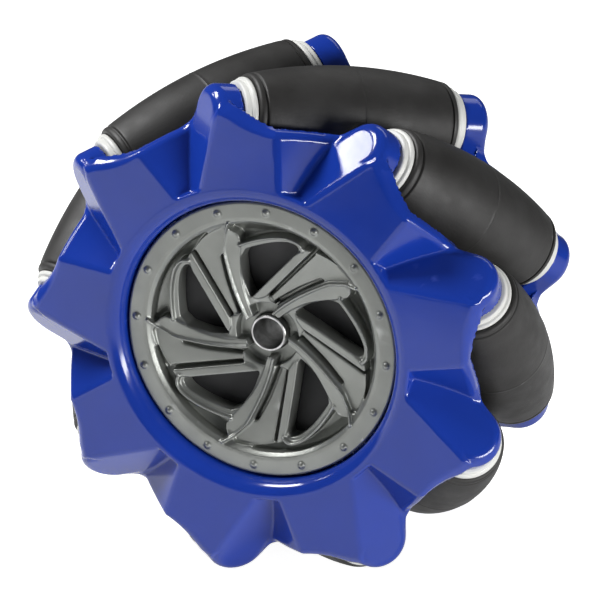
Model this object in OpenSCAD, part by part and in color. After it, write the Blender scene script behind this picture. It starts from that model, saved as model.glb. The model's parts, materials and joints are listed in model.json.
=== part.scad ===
// Mecanum wheel: nine free-running rubber rollers, set at 45 degrees to the wheel's axis, are held
// on steel axles between the ears of two moulded crown shells. Hub caps close both ends of the drum.
//
// The wheel spins about Y, its front faces -Y, and +Z is up. Pieces are drawn with their own +Z
// towards the front and +Y up, and wheel_frame() turns them into the wheel's frame.
// Angles around the wheel are clockwise from the top, as seen from the front.

/* [Wheel] */
// Diameter over the treads of the rollers
wheel_d = 97; // [95:0.5:99]
// Width over the flat fronts of the two shells
wheel_w = 45.6; // [45:0.2:50]
// Angle between a roller's axle and the wheel's axis
roller_angle = 45; // [43:0.5:47]
// Place of the first roller around the wheel
first_roller_at = -27.2; // [-40:0.1:40]

/* [Rollers] */
// Largest diameter of a roller, at the middle of its length
roller_d = 19.6; // [18:0.1:19.8]
// Length of the rubber tread
tread_len = 38; // [34:0.5:39]
// Width of the groove near each end of the tread
tread_groove_w = 0.5; // [0.3:0.1:1]
// Depth of that groove
tread_groove_depth = 0.4; // [0.2:0.1:0.8]
// Distance from the end of the tread to the groove
tread_lip = 1; // [0.6:0.1:2]
// Diameter of the core inside the tread
core_d = 9.4; // [8:0.1:11]
// Diameter of the core's flange beside the tread
flange_d = 13.8; // [12:0.1:14.4]
// Diameter of the flange's outer step, beside the ear
flange_step_d = 12.6; // [10:0.1:13]
// Thickness of the flange
flange_t = 2.1; // [1.5:0.1:3]
// Outer diameter of the bushes
bush_d = 5; // [4.4:0.1:6]
// Length of each bush
bush_len = 6; // [3:0.5:10]
// Diameter of the steel axles
axle_d = 3; // [2:0.1:3.4]
// Length of axle held in each ear
axle_seat = 4.5; // [3:0.1:5]

/* [Shells] */
// Wall thickness of the crown
wall = 2.3; // [1.6:0.1:2.5]
// Radius of the crown's outline between the ears
crown_r = 41.3; // [38:0.1:43]
// Outer diameter of the drum that joins the shells
drum_d = 56.8; // [54:0.2:57]
// Wall thickness of the drum
drum_wall = 1.4; // [1:0.1:2]
// Width of the flat outside the rounding of the bead around the mouth
bead_flat = 0.4; // [0.2:0.1:1.5]
// Rounding of the bead into the drum
bead_round = 2.9; // [1:0.1:3]
// Diameter of the rounded top of an ear
ear_d = 12; // [9:0.1:12.4]
// Thickness of an ear along the axle
ear_t = 6.2; // [5.4:0.1:8]
// Rounding of the ear's outer edge
ear_edge = 1.2; // [0.4:0.1:2]
// Slope of the notch's long face, down from the front
notch_slope = 39; // [30:1:45]
// Direction in which that face slopes down, from the roller's own place
notch_heading = 34; // [30:1:38]
// Distance of the notch's upper edge from the wheel's axis, in that direction
notch_offset = 6.6; // [5:0.1:8]
// Length of the lap between the two shells
lap = 1.6; // [1:0.1:3]

/* [Hub caps] */
// Depth of the caps' rims behind the shells' fronts
cap_depth = 3.2; // [2.6:0.1:4.5]
// Thickness of the caps' rims
cap_t = 2; // [1.6:0.1:3]
// Width of the flat rim
rim_w = 3.6; // [3:0.1:5]
// Number of rivet heads on the front rim
rivet_count = 16; // [8:1:24]
// Diameter of a rivet head
rivet_d = 1.5; // [1:0.1:2]
// Place of the first rivet head
first_rivet_at = -19.5; // [-22:0.5:22]
// Place of the first spoke of the front cap
first_spoke_at = -88; // [-100:1:100]
// Thickness of the front cap's dished face
face_t = 3.6; // [3.2:0.1:4]
// Fall of the face from the rim to the well in its middle
face_fall = 3.5; // [2:0.1:4]
// Diameter of the well
well_d = 12.4; // [10:0.2:15]
// Depth of the well below the end of the face
well_depth = 2.2; // [1.5:0.1:2.4]
// Height of the ribs on the spokes
rib_h = 0.5; // [0.2:0.1:0.8]
// Depth of the grooves in the spokes
slot_depth = 2.2; // [1.4:0.1:2.3]
// Depth of the rear cap's plate below its rim
plate_drop = 1.8; // [1:0.1:2.5]
// Thickness of the rear cap's plate
plate_t = 2.2; // [1.6:0.1:3]
// Depth of the sunk panels in that plate
panel_depth = 1; // [0.4:0.1:1.2]
// Size across the flats of the drive hexagon at the back
hex_af = 12; // [10:0.5:14]
// Depth of the drive hexagon
hex_depth = 5.5; // [4:0.5:6]
// Height of the drive hexagon's boss above the rear cap's rim
hex_boss_h = 1; // [0:0.1:2]
// Wall around the drive hexagon, beside its flats
hex_wall = 3.6; // [2:0.1:4]
// Floor of the drive hexagon
hex_floor_t = 2; // [1.6:0.1:3]

/* [Hub] */
// Bore for the shaft
bore_d = 6.1; // [4:0.1:6.4]
// Diameter of the sleeve's thin front end
sleeve_nose_d = 7; // [6.8:0.1:7.2]
// Diameter of the sleeve
sleeve_d = 9; // [8:0.1:10]
// Diameter of the circle of clamp screws
screw_circle_d = 30; // [28:0.5:32]
// Diameter of the clamp screws
screw_d = 3; // [2.5:0.1:3.2]
// Diameter of the screws' heads
screw_head_d = 5.5; // [4.5:0.1:6]
// Height of the screws' heads
screw_head_h = 2.4; // [1.6:0.1:3]
// Length of the screws inside the front cap's bosses
screw_grip = 7; // [4:0.5:8]
// Diameter of the front cap's screw bosses
pin_boss_d = 5.2; // [4.8:0.1:5.6]
// Wall of the rear cap around the screws' heads
head_wall = 1.2; // [0.8:0.1:1.6]
// Thickness of the rear cap's ribs
rib_t = 2.4; // [1.6:0.1:4]

/* [Clearances] */
// Running clearance around the axles
running_gap = 0.05; // [0.02:0.01:0.1]
// Gap between a turning roller and an ear
end_gap = 0.3; // [0.2:0.05:0.5]
// Gap between round faces that seat in one another
seat_gap = 0.05; // [0.02:0.01:0.1]
// Gap between a cap and the wall around it
cap_gap = 0.4; // [0.1:0.1:0.6]
// Gap around the clamp screws, except in the front cap
screw_gap = 0.15; // [0.1:0.05:0.3]

/* [Hidden] */
ROLLERS = 9;
SPOKES = 5;
$fn = 96;
FAR = 80;

wheel_r = wheel_d / 2;
front_z = wheel_w / 2;
axis_r = wheel_r - roller_d / 2;
lobe_turn = 360 / ROLLERS;
spoke_turn = 360 / SPOKES;

// places along a roller's axle, measured from the middle of the roller
half_tread = tread_len / 2;
core_gap = 0.1;
flange_end = half_tread + core_gap + flange_t;
ear_in = flange_end + end_gap;
ear_out = ear_in + ear_t;
axle_end = ear_in + axle_seat;
axle_r = axle_d / 2;
bush_bore_r = axle_r + running_gap;

// the drum and what closes it
drum_r = drum_d / 2;
drum_in_r = drum_r - drum_wall;
bead_r = drum_in_r + bead_round + bead_flat;
cap_r = drum_in_r - cap_gap;
rim_z = front_z - cap_depth;
ledge_z = rim_z - cap_t;
ledge_t = 2;
ledge_w = 2.8;
rim_in_r = cap_r - rim_w;
plate_z = rim_z - plate_drop;

// the front cap's face, and the underside of its well
shoulder_w = 2.6;
shoulder_fall = 1.7;
well_r = well_d / 2;
well_z = rim_z - face_fall - well_depth;
well_under_z = well_z - face_t;

// the hub core between the ledges, dished at the front to follow the cap's underside
core_half = min(ledge_z - ledge_t, plate_z - plate_t) - end_gap;
core_r = drum_in_r - cap_gap;
core_shoulder_z = rim_z - shoulder_fall - face_t - end_gap;
core_shelf_z = rim_z - face_fall - face_t - end_gap;
core_well_z = well_under_z - end_gap;
core_well_r = well_r + end_gap;

// the clamp screws: heads in the rear cap, points in bosses that plug into the core's sockets
screw_r = screw_d / 2;
screw_ring_r = screw_circle_d / 2;
screw_behind_spoke = 22;
screw_at = first_spoke_at - screw_behind_spoke;
screw_head_r = screw_head_d / 2;
screw_tip_gap = 0.6;
pin_boss_r = pin_boss_d / 2;
pin_boss_sunk = 0.6;
pin_boss_top = rim_z - face_fall - slot_depth + pin_boss_sunk;
socket_r = pin_boss_r + seat_gap;
screw_tip_cover = 1.5;
screw_tip_z = pin_boss_top - screw_tip_cover;
socket_z = screw_tip_z - screw_grip;
head_pocket_r = screw_head_r + screw_gap;
head_sink = 0.6;
head_floor_z = rim_z - head_sink - screw_head_h;

// the sleeve on the shaft, and the hexagon behind it
sleeve_r = sleeve_d / 2;
sleeve_hole_r = sleeve_r + seat_gap;
nose_r = sleeve_nose_d / 2;
nose_h = 1.7;
nose_z = well_z + nose_h;
hex_boss_r = hex_af / 2 + hex_wall;
hex_boss_z = rim_z + hex_boss_h;
hex_floor_z = hex_boss_z - hex_depth;
hex_seat_z = hex_floor_z - hex_floor_t;

BLUE = [0.10, 0.16, 0.58];
GUNMETAL = [0.50, 0.50, 0.49];
GRAPHITE = [0.14, 0.14, 0.15];
RUBBER = [0.12, 0.12, 0.12];
NYLON = [0.88, 0.88, 0.86];
STEEL = [0.72, 0.73, 0.75];
BRONZE = [0.70, 0.50, 0.28];

// ---------------------------------------------------------------- frames

// turns a piece drawn with its front up +Z into the wheel's frame, where the front faces -Y
module wheel_frame() { rotate([90, 0, 0]) children(); }

// turns a piece drawn facing the front to the rear, about the upright through the wheel's centre
module rear_side() { rotate([0, 180, 0]) children(); }

// goes round the wheel to an angle, clockwise from the top
module at(angle) { rotate([0, 0, -angle]) children(); }

function lobe_at(i) = first_roller_at + (i - 1) * lobe_turn;

// a roller's own axis: +Z runs from its middle to its front ear, +Y points away from the wheel
module on_axle() { translate([0, axis_r, 0]) rotate([0, -roller_angle, 0]) children(); }

// ---------------------------------------------------------------- outlines

function polar(r, angle) = [r * sin(angle), r * cos(angle)];

// points of an arc about a centre, clockwise angles from +Y
function arc(centre, r, from, to, steps) =
    [for (i = [0:steps]) centre + polar(r, from + (to - from) * i / steps)];

// a smooth curve through the points, as Catmull and Rom draw it
CURVE_STEPS = 3;
function curve_at(a, b, c, d, t) =
    b + 0.5 * t * (c - a + t * (2 * a - 5 * b + 4 * c - d + t * (3 * (b - c) + d - a)));
function curve(points) =
    let (last = len(points) - 1)
    concat(
        [for (i = [0:last - 1], k = [0:CURVE_STEPS - 1])
            curve_at(points[max(i - 1, 0)], points[i], points[i + 1],
                     points[min(i + 2, last)], k / CURVE_STEPS)],
        [points[last]]
    );
function turned_round(points) = [for (i = [len(points) - 1:-1:0]) points[i]];

// Each point of the axle touches the wheel's cylinder square to it, one gap away. The roller's
// outline is the envelope of those contacts, so the nine rollers together make a full circle.
tangent = pow(sin(roller_angle), 2);
function axis_d(s) = sqrt(axis_r * axis_r + s * s * tangent);
function axle_point(a, s, n) =
    n == 0 ? s : axle_point(a, a / (1 + (wheel_r - axis_d(s)) * tangent / axis_d(s)), n - 1);
function tread_r(a) =
    let (s = axle_point(a, a, 6), d = axis_d(s))
    (wheel_r - d) * sqrt(1 - pow(s * tangent / d, 2));

// ---------------------------------------------------------------- rollers

// distances from the middle of the tread with the depth cut from it there
function tread_half_steps() =
    let (lip = half_tread - tread_lip, groove = lip - tread_groove_w, steps = 10,
         draft = 0.05, soft = 0.5)
    concat(
        [for (i = [0:steps]) [groove * i / steps, 0]],
        [[groove + draft, tread_groove_depth], [lip - draft, tread_groove_depth], [lip, 0],
         [half_tread - soft, 0], [half_tread - 0.3 * soft, 0.3 * soft], [half_tread, soft]]
    );

function tread_half_outline() = [for (p = tread_half_steps()) [tread_r(p[0]) - p[1], p[0]]];

function both_ways(half) =
    concat([for (i = [len(half) - 1:-1:1]) [half[i][0], -half[i][1]]], half);

module roller_tread() {
    hole_r = core_d / 2 + seat_gap;
    color(RUBBER) on_axle() rotate_extrude()
        polygon(concat([[hole_r, -half_tread]], both_ways(tread_half_outline()),
                       [[hole_r, half_tread]]));
}

module roller_core() {
    barrel_r = core_d / 2;
    step_z = flange_end - flange_t / 2;
    flange_z = half_tread + core_gap;
    flange_r = flange_d / 2;
    step_r = flange_step_d / 2;
    soft = 0.4;
    half = [
        [barrel_r, 0], [barrel_r, flange_z], [flange_r - soft, flange_z],
        [flange_r, flange_z + soft], [flange_r, step_z - soft], [flange_r - soft, step_z],
        [step_r, step_z], [step_r, flange_end - soft], [step_r - soft, flange_end]
    ];
    bush_hole_r = bush_d / 2 + seat_gap;
    axle_hole_r = bush_bore_r + end_gap;
    color(NYLON) on_axle() difference() {
        rotate_extrude()
            polygon(concat([[axle_hole_r, -flange_end]], both_ways(half),
                           [[axle_hole_r, flange_end]]));
        for (end = [-1, 1])
            translate([0, 0, end * (flange_end - bush_len / 2)])
                cylinder(r = bush_hole_r, h = bush_len + seat_gap, center = true);
    }
}

module roller_bushes() {
    inner_z = flange_end - bush_len;
    color(BRONZE) on_axle()
        for (end = [0, 1]) mirror([0, 0, end]) translate([0, 0, inner_z + 2 * seat_gap])
            difference() {
                cylinder(d = bush_d, h = bush_len - 2 * seat_gap);
                translate([0, 0, -1]) cylinder(r = bush_bore_r, h = bush_len + 2);
            }
}

module roller_axle() {
    bevel = 0.3;
    color(STEEL) on_axle() rotate_extrude()
        polygon([[0, -axle_end], [axle_r - bevel, -axle_end], [axle_r, bevel - axle_end],
                 [axle_r, axle_end - bevel], [axle_r - bevel, axle_end], [0, axle_end]]);
}

// ---------------------------------------------------------------- shells

// the room that the drum and its bead take from the crown and the ears
module mouth() {
    translate([0, 0, -1]) cylinder(r = drum_in_r + drum_wall / 2, h = FAR);
    translate([0, 0, front_z - wall]) cylinder(r = drum_in_r + bead_round, h = FAR);
}

// everything beyond the flat outer face of an ear, moved in by a wall
module beyond_ear(inset) {
    on_axle() translate([-FAR, -FAR, ear_out - inset]) cube([2 * FAR, 2 * FAR, FAR]);
}

// everything above the long face of the notch, moved in by a wall
module above_slope(inset) {
    translate([0, 0, front_z]) rotate([0, 0, -notch_heading]) translate([0, notch_offset, 0])
        rotate([-notch_slope, 0, 0]) translate([-FAR, -FAR, -inset]) cube([2 * FAR, 2 * FAR, FAR]);
}

// The crown is a flat disc with nine V-notches. One side of each is square to an axle and makes
// the outer face of an ear, and the other rises slowly to the next lobe.
module crown_solid(inset, r, z) {
    difference() {
        translate([0, 0, z]) cylinder(r = r, h = front_z - inset - z);
        for (i = [1:ROLLERS]) at(lobe_at(i)) intersection() {
            beyond_ear(inset);
            above_slope(inset);
        }
    }
}

module crown_skin() {
    low_z = 8;
    difference() {
        crown_solid(0, crown_r, low_z);
        crown_solid(wall, crown_r + 1, low_z - 1);
        mouth();
    }
}

// a lug with a rounded top: its outer corner is turned about the axle, and runs on down the stem
module ear() {
    ear_r = ear_d / 2;
    stem = axis_r - drum_in_r + ear_r;
    corner = arc([ear_r - ear_edge, ear_out - ear_edge], ear_edge, 90, 0, 6);
    on_axle() {
        rotate_extrude() polygon(concat([[0, ear_in], [ear_r, ear_in]], corner, [[0, ear_out]]));
        rotate([90, 0, 0]) linear_extrude(stem)
            polygon(concat([[-ear_r, ear_in], [ear_r, ear_in]], corner,
                           [for (i = [6:-1:0]) [-corner[i][0], corner[i][1]]]));
    }
}

// The axle drops into its seat from the parting side, so the round seat opens into a slot.
module axle_seat_cut() {
    r = axle_r + seat_gap;
    deep = ear_out;
    function on_axis(a) = [-a * sin(roller_angle), a * cos(roller_angle)];
    on_axle() translate([0, 0, ear_in - 1]) cylinder(r = r, h = axle_seat + 1 + seat_gap);
    translate([0, axis_r, 0]) rotate([90, 0, 0]) linear_extrude(2 * r, center = true)
        polygon([on_axis(ear_in - 1), on_axis(axle_end + seat_gap),
                 on_axis(axle_end + seat_gap) - [0, deep], on_axis(ear_in - 1) - [0, deep]]);
}

// drum wall, the ledge that a cap sits on, and the rounded bead around the mouth
module drum(lap_r, lap_z) {
    top = arc([drum_in_r + bead_round, front_z - bead_round], bead_round, 0, -90, 10);
    rotate_extrude() polygon(concat(
        [[drum_in_r, ledge_z - ledge_t], [drum_in_r, lap_z[0]], [lap_r, lap_z[0]],
         [lap_r, lap_z[1]], [drum_r, lap_z[1]], [drum_r, front_z - wall],
         [bead_r, front_z - wall], [bead_r, front_z]],
        top,
        [[drum_in_r, ledge_z], [drum_in_r - ledge_w, ledge_z],
         [drum_in_r - ledge_w, ledge_z - ledge_t]]
    ));
}

module half_shell(lap_r, lap_z) {
    color(BLUE) difference() {
        union() {
            crown_skin();
            drum(lap_r, lap_z);
            intersection() {
                union() for (i = [1:ROLLERS]) at(lobe_at(i)) ear();
                difference() {
                    cylinder(r = wheel_r, h = front_z);
                    mouth();
                }
            }
        }
        for (i = [1:ROLLERS]) at(lobe_at(i)) axle_seat_cut();
    }
}

module front_shell() { wheel_frame() half_shell(drum_in_r + drum_wall / 2, [-lap, 0]); }

module rear_shell() {
    wheel_frame() at(2 * first_roller_at) rear_side()
        half_shell(drum_in_r + drum_wall / 2 + seat_gap, [lap, 0]);
}

// ---------------------------------------------------------------- front hub cap

// Outlines of one spoke group, in its own frame: the spoke meets the rim at +Y, and the group
// lies on its left. Points are in mm on the face of the cap.
WINDOW = concat(
    [[-7.4, 1.3], [-10.6, 14.9]],
    curve([[-10.9, 15.6], [-11.7, 15.8], [-13.1, 14.6], [-14.5, 11.6], [-15.4, 8.3], [-15.8, 6.2]]),
    curve([[-14.8, 4.4], [-11.3, 2.3], [-8.0, 1.3]])
);
LIP_OUTER = curve([[-10.3, 16.9], [-12.0, 17.1], [-14.1, 15.4], [-15.8, 12.1], [-16.8, 8.6],
                   [-17.3, 5.8]]);
LIP_CREST = curve([[-16.8, 5.7], [-16.3, 8.5], [-15.3, 11.9], [-13.7, 15.0], [-12.0, 16.5],
                   [-10.2, 16.2]]);
LIP = concat(LIP_OUTER, [[-15.2, 5.0], [-10.0, 13.8]]);
PETAL_OUTER = curve([[-9.6, 18.2], [-7.2, 20.1], [-4.6, 21.4], [-2.0, 22.1]]);
CHANNEL_INNER = concat([[-20.6, 5.6], [-19.6, 4.9], [-17.3, 5.8]], turned_round(LIP_OUTER),
                       PETAL_OUTER);
LEFT_SLOT = [[-9.6, 18.4], [-8.8, 18.3], [-5.8, 4.6], [-6.4, 4.3]];
RIGHT_SLOT = concat(
    curve([[-3.6, 16.9], [-4.0, 11.4], [-3.9, 4.9]]),
    curve([[-4.8, 4.8], [-4.9, 11.2], [-4.4, 16.3]])
);
V_RIB = [[-10.5, 14.0], [-10.6, 17.3], [-9.6, 18.2], [-6.3, 4.2], [-6.6, 2.6], [-7.4, 1.6]];
RIDGE_LINE = [[-3.1, 3.4], [-3.6, 7.2], [-3.7, 11.4], [-3.2, 17.0], [-2.5, 18.9], [-1.4, 21.2]];
RIDGE_TOP = [[-2.6, 3.5], [-3.1, 7.2], [-3.2, 11.4], [-2.8, 17.0], [-2.2, 18.8], [-1.1, 21.0]];
PETAL = concat(
    PETAL_OUTER,
    turned_round(curve([[-4.6, 4.6], [-4.7, 11.2], [-3.4, 17.0], [-2.5, 18.9], [-1.4, 21.2]])),
    [[-5.8, 4.6]]
);
SPOKE = concat(
    curve([[-0.7, 21.6], [0.9, 19.6], [-0.4, 15.5], [-1.6, 11.5], [-1.9, 7.5], [-1.6, 4.0]]),
    curve(RIDGE_LINE)
);
RIDGE = concat([[0.0, 22.9], [0.4, 22.6]], turned_round(curve(RIDGE_TOP)), curve(RIDGE_LINE));
// radius of the face that the outlines are drawn for: they grow with the real one
drawn_r = 23;
channel_edge = 0.8;
channel_r = drawn_r - channel_edge;
channel_span = [-6, -74];
petal_edge = 8.7;
petal_fall = 4;
petal_rise = 0.1;

// a dished face that falls to the well, raised or lowered all over, with the well open or filled
module dish(lift, filled = false) {
    rim_step = 0.3;
    shoulder_r = rim_in_r - shoulder_w;
    shoulder_z = rim_z - shoulder_fall;
    face_z = rim_z - face_fall;
    top = [[rim_in_r, rim_z - rim_step], [shoulder_r, shoulder_z], [well_r, face_z]];
    middle = filled ? [[0, face_z + lift]] : [[well_r, well_z], [0, well_z]];
    rotate_extrude() polygon(concat(
        [for (p = top) p + [0, lift]],
        middle,
        [[0, well_under_z], [well_r, face_z - face_t], [shoulder_r, shoulder_z - face_t],
         [rim_in_r, ledge_z - 2 * rim_step]]
    ));
}

module cut_through(outline) { linear_extrude(FAR) polygon(outline); }

// cuts or draws one outline in each of the five spoke groups
module spoke_groups() {
    for (i = [0:SPOKES - 1]) at(first_spoke_at + i * spoke_turn) children();
}

module on_face(outline) { cut_through(outline * rim_in_r / drawn_r); }

module cap_grooves() {
    spoke_groups() {
        on_face(LEFT_SLOT);
        on_face(RIGHT_SLOT);
        on_face(concat(arc([0, 0], channel_r, channel_span[0], channel_span[1], 16), CHANNEL_INNER));
    }
}

// Each petal is a facet that rises with the dish and leans towards its own spoke.
module petals() {
    rise = atan((face_fall - shoulder_fall) / (rim_in_r - shoulder_w - well_r));
    spoke_groups() translate([-petal_edge, well_r, rim_z - face_fall + petal_rise])
        rotate([rise, 0, 0]) rotate([0, petal_fall, 0]) translate([petal_edge, -well_r, 0])
            on_face(PETAL);
}

module cap_face() {
    difference() {
        dish(0);
        cap_grooves();
        petals();
    }
    dish(-slot_depth);
    intersection() {
        dish(rib_h);
        spoke_groups() on_face(V_RIB);
    }
    intersection() {
        dish(-rib_h / 2);
        spoke_groups() on_face(LIP);
    }
    intersection() {
        dish(2 * rib_h);
        spoke_groups() on_face(concat(LIP_OUTER, LIP_CREST));
    }
    intersection() {
        dish(rib_h, true);
        spoke_groups() on_face(SPOKE);
    }
    intersection() {
        dish(2 * rib_h, true);
        spoke_groups() on_face(RIDGE);
    }
}

module cap_rim(groove) {
    edge = 0.3;
    groove_w = 0.35;
    inside = 0.5;
    rotate_extrude() polygon(concat(
        [[rim_in_r - inside, ledge_z], [cap_r, ledge_z], [cap_r, rim_z - edge],
         [cap_r - edge, rim_z]],
        groove ? [[rim_in_r + groove_w, rim_z], [rim_in_r + groove_w / 2, rim_z - groove_w]] : [],
        [[rim_in_r, rim_z], [rim_in_r - inside, rim_z - inside]]
    ));
}

module rivet_heads() {
    ring_r = (cap_r + rim_in_r) / 2;
    r = rivet_d / 2;
    for (i = [0:rivet_count - 1]) at(first_rivet_at + i * 360 / rivet_count)
        translate([0, ring_r, rim_z - r / 3]) sphere(r = r, $fn = 24);
}

module screw_places(side) {
    for (i = [0:SPOKES - 1]) at(side * (screw_at + i * spoke_turn)) translate([0, screw_ring_r, 0])
        children();
}

module front_hub_cap() {
    color(GUNMETAL) wheel_frame() difference() {
        union() {
            difference() {
                cap_face();
                spoke_groups() on_face(WINDOW);
            }
            cap_rim(true);
            rivet_heads();
            screw_places(1) translate([0, 0, socket_z])
                cylinder(r = pin_boss_r, h = pin_boss_top - socket_z);
        }
        cylinder(r = nose_r + seat_gap, h = FAR);
        screw_places(1) cylinder(r = screw_r + seat_gap, h = screw_tip_z + screw_tip_gap);
    }
}

// ---------------------------------------------------------------- rear hub cap

// the sunk panels between the rear cap's ribs
module rear_panels() {
    rim_edge = 2.2;
    hub_edge = 2.8;
    outer_half = 24;
    inner_half = 16;
    outer = arc([0, 0], rim_in_r - rim_edge, -outer_half, outer_half, 10);
    inner = arc([0, 0], hex_boss_r + hub_edge, inner_half, -inner_half, 8);
    for (i = [0:SPOKES - 1]) at(-screw_at + (i + 0.5) * spoke_turn)
        translate([0, 0, plate_z - panel_depth]) cut_through(concat(outer, inner));
}

module rear_hub_cap() {
    head_boss_r = head_pocket_r + head_wall;
    rib_h = 0.7;
    rib_low_z = plate_z - plate_t / 2;
    rib_from = hex_boss_r - 1;
    color(GUNMETAL) wheel_frame() rear_side() difference() {
        union() {
            cap_rim(false);
            translate([0, 0, plate_z - plate_t]) cylinder(r = rim_in_r, h = plate_t);
            translate([0, 0, hex_seat_z]) cylinder(r = hex_boss_r, h = hex_boss_z - hex_seat_z);
            screw_places(-1) {
                translate([0, 0, core_half])
                    cylinder(r = head_boss_r, h = rim_z - head_sink - core_half);
                translate([-rib_t / 2, rib_from - screw_ring_r, rib_low_z])
                    cube([rib_t, rim_in_r - rib_from, plate_z + rib_h - rib_low_z]);
            }
        }
        rear_panels();
        screw_places(-1) {
            cylinder(r = screw_r + screw_gap, h = FAR);
            translate([0, 0, head_floor_z]) cylinder(r = head_pocket_r, h = FAR);
        }
        cylinder(r = sleeve_hole_r, h = FAR);
        translate([0, 0, hex_floor_z]) cylinder(d = hex_af / cos(30), h = FAR, $fn = 6);
    }
}

// ---------------------------------------------------------------- hub core, sleeve and screws

// a solid block that carries the sleeve, and that the two caps are screwed together through
module hub_core() {
    seat_r = hex_boss_r + cap_gap;
    seat_z = hex_seat_z - end_gap;
    edge = 0.4;
    color(GRAPHITE) wheel_frame() difference() {
        rotate_extrude() polygon([
            [sleeve_hole_r, -seat_z], [seat_r, -seat_z], [seat_r, -core_half],
            [core_r - edge, -core_half], [core_r, edge - core_half], [core_r, core_half - edge],
            [core_r - edge, core_half], [rim_in_r, core_half],
            [rim_in_r - shoulder_w, core_shoulder_z], [core_well_r, core_shelf_z],
            [core_well_r, core_well_z], [sleeve_hole_r, core_well_z]
        ]);
        screw_places(1) {
            cylinder(r = screw_r + screw_gap, h = FAR, center = true);
            translate([0, 0, socket_z]) cylinder(r = socket_r, h = FAR);
        }
    }
}

module hub_sleeve() {
    bevel = 0.3;
    bore_r = bore_d / 2;
    color(STEEL) wheel_frame() rotate_extrude() polygon([
        [bore_r, -hex_floor_z], [sleeve_r - bevel, -hex_floor_z], [sleeve_r, bevel - hex_floor_z],
        [sleeve_r, core_well_z - bevel], [sleeve_r - bevel, core_well_z], [nose_r, core_well_z],
        [nose_r, nose_z - bevel / 2], [nose_r - bevel / 2, nose_z], [bore_r, nose_z]
    ]);
}

// socket-head screws, put in from the rear
module clamp_screws() {
    key_r = 1.3;
    key_depth = 1.5;
    color(STEEL) wheel_frame() rear_side() screw_places(-1) {
        translate([0, 0, -screw_tip_z]) cylinder(r = screw_r, h = head_floor_z + screw_tip_z);
        translate([0, 0, head_floor_z]) difference() {
            cylinder(r = screw_head_r, h = screw_head_h);
            translate([0, 0, screw_head_h - key_depth]) cylinder(r = key_r, h = FAR, $fn = 6);
        }
    }
}

// ---------------------------------------------------------------- the wheel

front_shell();
rear_shell();
front_hub_cap();
rear_hub_cap();
hub_core();
hub_sleeve();
clamp_screws();

for (i = [1:ROLLERS]) {
    wheel_frame() at(lobe_at(i)) roller_tread();
    wheel_frame() at(lobe_at(i)) roller_core();
    wheel_frame() at(lobe_at(i)) roller_bushes();
    wheel_frame() at(lobe_at(i)) roller_axle();
}
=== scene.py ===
"""Mecanum wheel: moulded shells, hub caps and rollers, and their finishes, on the CAD frame."""

import json
import math

import bpy
import numpy as np
import openvdb
from mathutils import Matrix, Vector


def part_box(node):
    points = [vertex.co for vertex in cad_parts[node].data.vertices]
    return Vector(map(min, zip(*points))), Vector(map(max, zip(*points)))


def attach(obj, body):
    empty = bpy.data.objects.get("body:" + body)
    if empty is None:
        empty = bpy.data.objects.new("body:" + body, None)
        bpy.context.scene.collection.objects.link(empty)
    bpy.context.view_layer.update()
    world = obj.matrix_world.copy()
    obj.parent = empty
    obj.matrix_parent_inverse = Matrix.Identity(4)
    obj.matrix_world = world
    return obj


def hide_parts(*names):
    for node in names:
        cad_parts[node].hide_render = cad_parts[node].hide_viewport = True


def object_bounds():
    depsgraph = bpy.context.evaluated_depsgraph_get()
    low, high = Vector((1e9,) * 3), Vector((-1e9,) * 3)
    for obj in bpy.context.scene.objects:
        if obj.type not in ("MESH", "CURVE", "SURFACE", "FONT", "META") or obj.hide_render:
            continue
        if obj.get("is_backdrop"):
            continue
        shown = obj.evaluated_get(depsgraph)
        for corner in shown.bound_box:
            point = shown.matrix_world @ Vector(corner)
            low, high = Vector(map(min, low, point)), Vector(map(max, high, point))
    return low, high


bl_info = {
    "name": "Mecanum wheel",
    "version": (1, 0, 0),
    "blender": (4, 5, 0),
    "location": "3D View > Sidebar > Wheel",
    "description": "Builds a mecanum wheel's moulded shells, hub caps and rollers, and its studio",
    "category": "Object",
}

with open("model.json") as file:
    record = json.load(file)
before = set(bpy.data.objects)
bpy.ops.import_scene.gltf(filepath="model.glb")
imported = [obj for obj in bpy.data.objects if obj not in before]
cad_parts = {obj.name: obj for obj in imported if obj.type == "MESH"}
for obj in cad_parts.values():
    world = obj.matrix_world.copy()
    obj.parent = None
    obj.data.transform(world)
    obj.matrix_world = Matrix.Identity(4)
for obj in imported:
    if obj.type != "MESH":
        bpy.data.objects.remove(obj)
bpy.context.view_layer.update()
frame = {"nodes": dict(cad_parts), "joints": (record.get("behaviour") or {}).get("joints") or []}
MM = 0.001

# ---------------------------------------------------------------- sizes in mm, near the CAD source's

ROLLER_JOINTS = [j for j in frame["joints"] if j["child"].startswith("roller_")]
ROLLERS = len(ROLLER_JOINTS)
FIRST_PLACE = Vector(ROLLER_JOINTS[0]["pos_m"])
AXIS_R = FIRST_PLACE.length / MM
FIRST_AT = math.atan2(FIRST_PLACE.x, FIRST_PLACE.z)
LEAN = math.acos(abs(ROLLER_JOINTS[0]["axis"][1]))
LOBE_TURN = 2 * math.pi / ROLLERS
WHEEL_R = 48.5
FRONT_Z = -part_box("front_shell")[0].y / MM

# the rollers are a little longer than in the CAD source, and the ears a little smaller
HALF_TREAD = 19.9
TREAD_LIP = 1.0
TREAD_GROOVE_W = 0.5
TREAD_GROOVE_DEPTH = 0.4
CORE_R = 4.7
FLANGE_R = 6.9
FLANGE_STEP_R = 6.3
FLANGE_T = 2.1
CORE_GAP = 0.1
SEAT_GAP = 0.05
AXLE_HOLE_R = 1.85
BUSH_HOLE_R = 2.55
BUSH_FROM = 15.2
FLANGE_END = HALF_TREAD + CORE_GAP + FLANGE_T

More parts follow.
